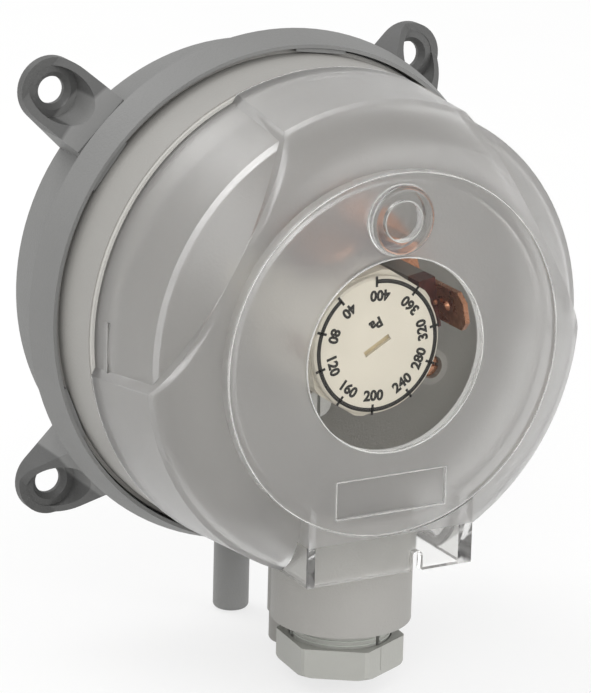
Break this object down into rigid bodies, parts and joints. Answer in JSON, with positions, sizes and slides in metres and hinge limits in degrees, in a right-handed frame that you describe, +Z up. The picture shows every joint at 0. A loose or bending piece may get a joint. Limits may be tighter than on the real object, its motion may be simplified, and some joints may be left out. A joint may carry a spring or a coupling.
{
  "type": "differential pressure switch",
  "caption": "Round wall-mounted air differential pressure switch with a clear push-on cover, setting dial, cable gland and hose ports.",
  "frame": {"origin": "centre of the four wall screw holes, in the plane of the wall", "axes": "+Z up, -Y out of the wall towards the viewer, +X to the viewer's right"},
  "size_m": [0.085, 0.0568, 0.101],
  "materials": {
    "dark_housing": "fine matt mould texture",
    "light_housing": "fine matt mould texture",
    "gland_plastic": "smooth satin",
    "clear_cover": "finely frosted with polished window",
    "dial_plastic": "satin cream",
    "phenolic": "glossy maroon",
    "copper_alloy": "stamped, lightly tarnished",
    "silver": "polished",
    "steel": "zinc plated",
    "silicone": "matt silicone",
    "dark_rubber": "matt rubber",
    "natural_plastic": "natural acetal"
  },
  "bodies": {
    "housing": {"base_shell": "dark_housing", "upper_housing": "light_housing", "diaphragm": "silicone", "plunger_seal": "dark_rubber", "post_screw": "copper_alloy", "dial_pedestal": "dial_plastic", "pedestal_screws": "steel", "lever_pin": "steel", "fixed_contacts": "silver", "carrier_common": "phenolic", "carrier_open": "phenolic", "carrier_closed": "phenolic", "terminal_common": "copper_alloy", "terminal_open": "copper_alloy", "terminal_closed": "copper_alloy", "gland_basket": "gland_plastic", "gland_seal": "dark_rubber", "cover_seal": "silicone", "range_spring": "steel"},
    "pressure_plate": {"diaphragm_plate": "natural_plastic", "plunger": "natural_plastic"},
    "lever": {"contact_lever": "copper_alloy", "moving_contact": "silver"},
    "dial": {"setting_dial": "dial_plastic", "dial_circlip": "steel"},
    "spring_nut": {"spring_nut": "copper_alloy"},
    "gland_ring": {"slip_ring": "natural_plastic"},
    "gland_nut": {"gland_nut": "gland_plastic"},
    "cover": {"cover": "clear_cover"}
  },
  "joints": [
    {"name": "plate_slide", "type": "slide", "parent": "housing", "child": "pressure_plate", "axis": [0, -1, 0], "range_m": [-0.0008, 0.0008], "stiffness_N_per_m": 600, "deforming": ["diaphragm", "range_spring"]},
    {"name": "lever_rock", "type": "hinge", "parent": "housing", "child": "lever", "pos_m": [0.0126, -0.0339, 0], "axis": [0, 0, 1], "range_deg": [-6.2, 6.2]},
    {"name": "dial_turn", "type": "hinge", "parent": "housing", "child": "dial", "pos_m": [0, -0.0485, 0], "axis": [0, -1, 0], "range_deg": [0, 324]},
    {"name": "nut_travel", "type": "slide", "parent": "housing", "child": "spring_nut", "axis": [0, -1, 0], "range_m": [0, 0.0025]},
    {"name": "gland_lift", "type": "slide", "parent": "housing", "child": "gland_ring", "axis": [0, 0, 1], "range_m": [-0.0015, 0.0015]},
    {"name": "gland_turn", "type": "hinge", "parent": "gland_ring", "child": "gland_nut", "pos_m": [0, -0.041, -0.053], "axis": [0, 0, 1], "range_deg": [-360, 360]},
    {"name": "cover_pull", "type": "slide", "parent": "housing", "child": "cover", "axis": [0, -1, 0], "range_m": [0, 0.045]}
  ],
  "couplings": [
    {"joint": "lever_rock", "follows": "plate_slide", "rad_per_m": 129.87},
    {"joint": "dial_turn", "follows": "nut_travel", "rad_per_m": 2261.9},
    {"joint": "gland_turn", "follows": "gland_lift", "rad_per_m": 4188.8}
  ]
}
